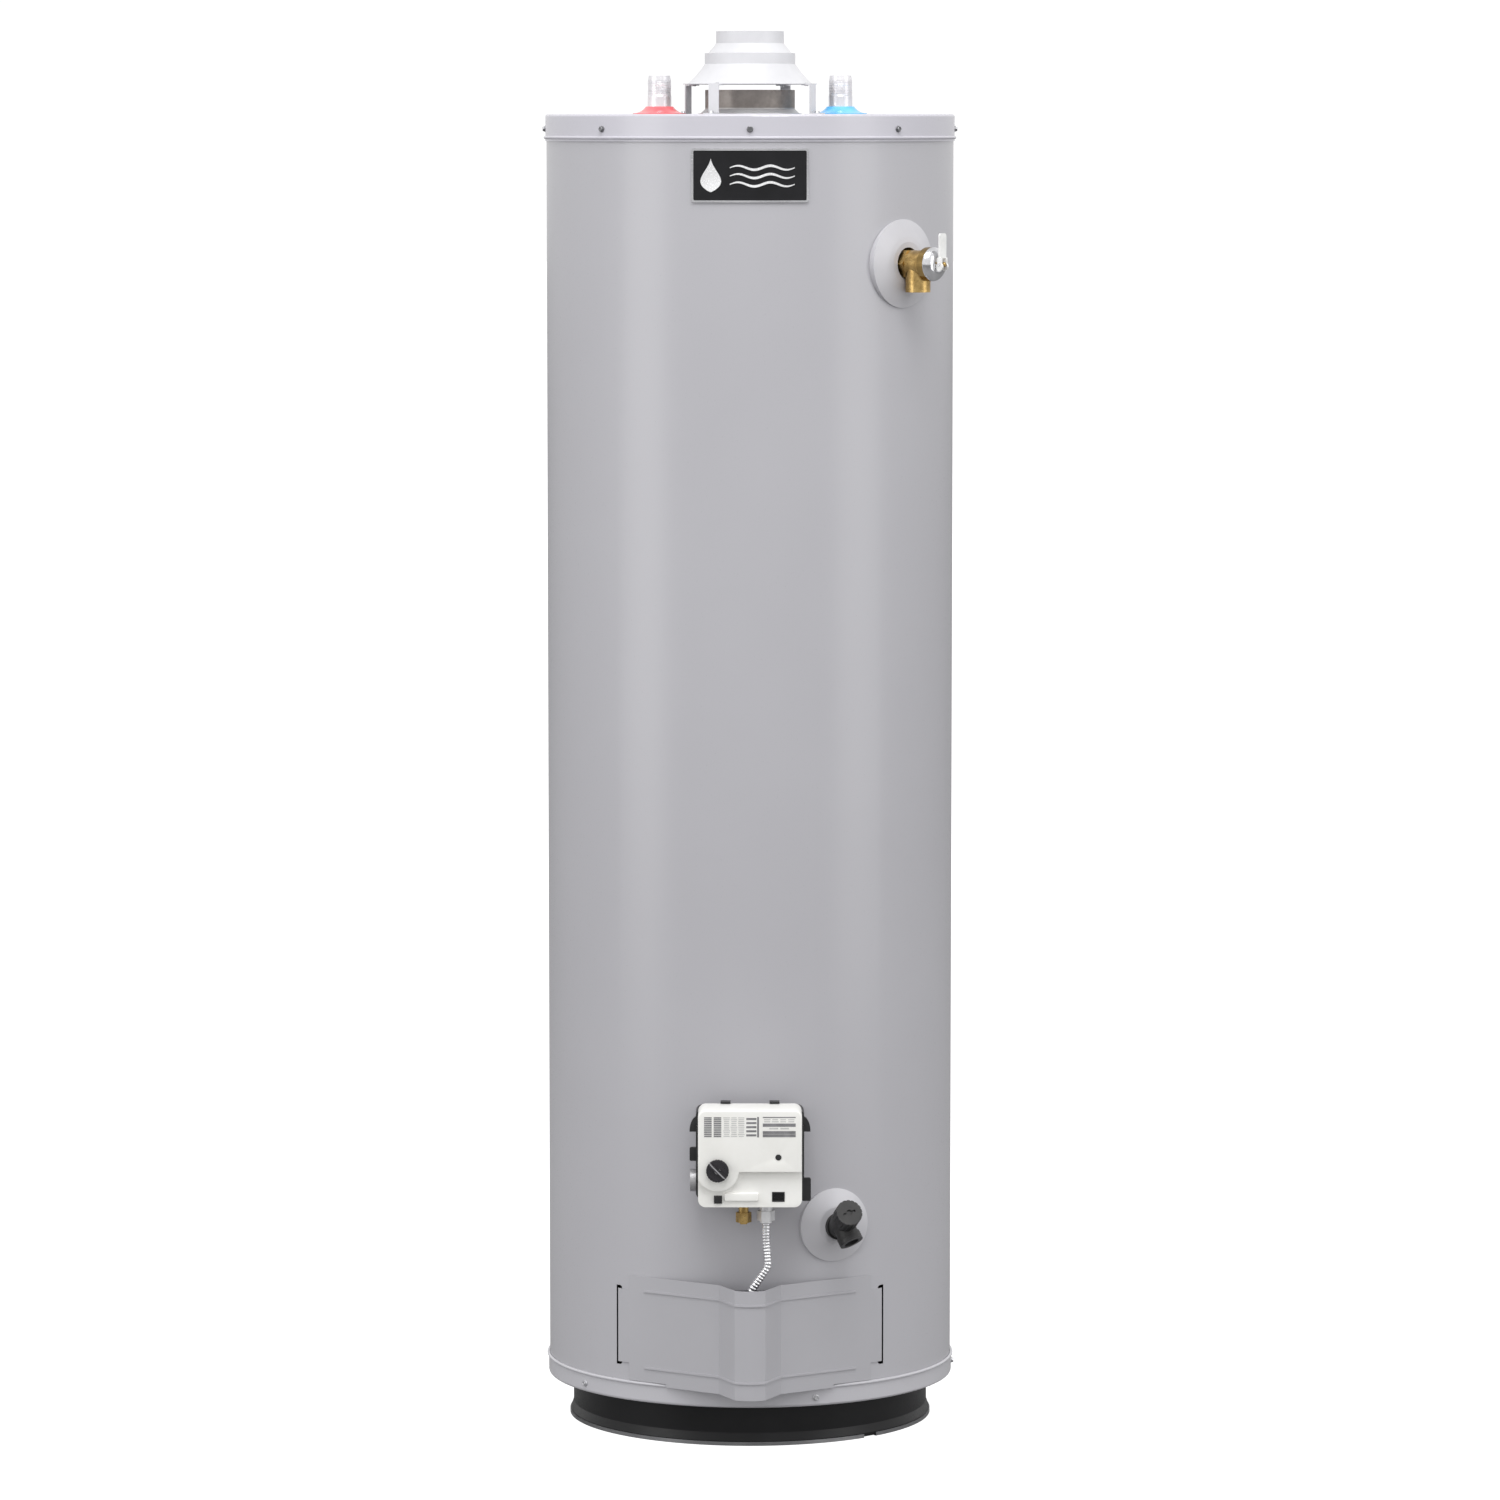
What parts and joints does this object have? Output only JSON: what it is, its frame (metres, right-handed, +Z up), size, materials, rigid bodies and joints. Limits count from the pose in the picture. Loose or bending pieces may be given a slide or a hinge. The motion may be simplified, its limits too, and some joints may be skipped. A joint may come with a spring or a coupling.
{
  "type": "gas tank water heater",
  "caption": "Tall gas storage water heater: jacketed tank on a base ring, draught hood, relief and drain valves, gas control and a pull-off burner door.",
  "frame": {"origin": "on the floor, under the tank's axis", "axes": "+Z up along the tank's axis, -Y towards the gas control's side, +X towards the cold water nipple"},
  "size_m": [0.4656, 0.5568, 1.5685],
  "materials": {
    "jacket_paint": "satin",
    "black_paint": "satin",
    "rim_steel": "satin",
    "zinc_screws": "satin",
    "hood_steel": "satin",
    "galvanised": "satin",
    "nipple_zinc": "gloss",
    "red_ring": "gloss",
    "blue_ring": "gloss",
    "badge_silver": "satin",
    "badge_black": "gloss",
    "tank_steel": "satin",
    "flue_steel": "matte",
    "foam": "matte",
    "tube_plastic": "satin",
    "anode_metal": "satin",
    "plate_grey": "satin",
    "brass": "satin",
    "bonnet_metal": "satin",
    "spring_steel": "satin",
    "lever_metal": "satin",
    "drain_plate": "satin",
    "drain_plastic": "satin",
    "seat_rubber": "matte",
    "frame_plastic": "satin",
    "cast_body": "satin",
    "cover_plastic": "satin",
    "shaft_steel": "satin",
    "lens_plastic": "gloss",
    "tube_metal": "gloss",
    "burner_steel": "matte",
    "gasket": "matte",
    "sight_glass": "gloss"
  },
  "bodies": {
    "heater": {"anode_rod": "anode_metal", "badge_frame": "badge_silver", "badge_panel": "badge_black", "base_rim_trim": "rim_steel", "base_ring": "black_paint", "bottom_pan": "jacket_paint", "burner_head": "burner_steel", "burner_venturi": "burner_steel", "cap_screws": "zinc_screws", "chamber_floor": "black_paint", "cold_nipple": "nipple_zinc", "cold_ring": "blue_ring", "control_body": "cast_body", "control_connector": "frame_plastic", "control_cover": "cover_plastic", "control_mount_frame": "frame_plastic", "control_thermowell": "anode_metal", "dip_tube": "tube_plastic", "draft_hood": "hood_steel", "drain_escutcheon": "drain_plate", "drain_valve_body": "drain_plastic", "flame_arrestor": "burner_steel", "flue_baffle": "flue_steel", "flue_collar": "galvanised", "flue_tube": "flue_steel", "foam_insulation": "foam", "hood_fasteners": "zinc_screws", "hood_legs": "hood_steel", "hot_nipple": "nipple_zinc", "hot_ring": "red_ring", "inner_door": "galvanised", "inner_door_gasket": "gasket", "inner_door_screws": "zinc_screws", "jacket_cap": "jacket_paint", "jacket_wrap": "jacket_paint", "manifold_fitting": "brass", "manifold_nut": "tube_metal", "manifold_tube": "tube_metal", "pan_screws": "zinc_screws", "pilot_assembly": "burner_steel", "relief_bonnet": "bonnet_metal", "relief_escutcheon": "plate_grey", "relief_probe": "anode_metal", "relief_valve_body": "brass", "sight_glass": "sight_glass", "status_lens": "lens_plastic", "tank_bottom_head": "tank_steel", "tank_shell": "tank_steel", "tank_top_head": "tank_steel"},
    "door": {"outer_door": "jacket_paint"},
    "knob_shaft": {"control_knob_shaft": "shaft_steel"},
    "knob": {"control_knob": "frame_plastic"},
    "igniter": {"igniter_button": "frame_plastic"},
    "relief_poppet": {"relief_stem": "brass", "relief_lever_pin": "bonnet_metal", "relief_spring": "spring_steel"},
    "relief_handle": {"relief_lever": "lever_metal"},
    "drain_washer": {"drain_seat_washer": "seat_rubber"},
    "drain_handle": {"drain_knob": "drain_plastic", "drain_stem": "drain_plastic"}
  },
  "joints": [
    {"name": "door_pull", "type": "slide", "parent": "heater", "child": "door", "axis": [0, -1, 0], "range_m": [0, 0.12]},
    {"name": "knob_turn", "type": "hinge", "parent": "heater", "child": "knob_shaft", "pos_m": [-0.0355, -0.32, 0.328], "axis": [0, -1, 0], "range_deg": [0, 270]},
    {"name": "knob_push", "type": "slide", "parent": "knob_shaft", "child": "knob", "axis": [0, 1, 0], "range_m": [0, 0.003], "stiffness_N_per_m": 400},
    {"name": "igniter_push", "type": "slide", "parent": "heater", "child": "igniter", "axis": [0, 1, 0], "range_m": [0, 0.003], "stiffness_N_per_m": 400},
    {"name": "relief_lift", "type": "slide", "parent": "heater", "child": "relief_poppet", "axis": [0.7337, -0.6794, 0], "range_m": [0, 0.003]},
    {"name": "relief_lever_turn", "type": "hinge", "parent": "relief_poppet", "child": "relief_handle", "pos_m": [0.21065, -0.19507, 1.312], "axis": [0.6794, 0.7337, 0], "range_deg": [0, 80]},
    {"name": "drain_lift", "type": "slide", "parent": "heater", "child": "drain_washer", "axis": [0.2269, -0.8373, 0.4975], "range_m": [0, 0.006]},
    {"name": "drain_turn", "type": "hinge", "parent": "drain_washer", "child": "drain_handle", "pos_m": [0.09924, -0.2229, 0.25], "axis": [0.2269, -0.8373, 0.4975], "range_deg": [0, 720]}
  ],
  "couplings": [
    {"joint": "relief_lift", "follows": "relief_lever_turn", "m_per_rad": 0.0021486},
    {"joint": "drain_lift", "follows": "drain_turn", "m_per_rad": 0.00047746}
  ]
}
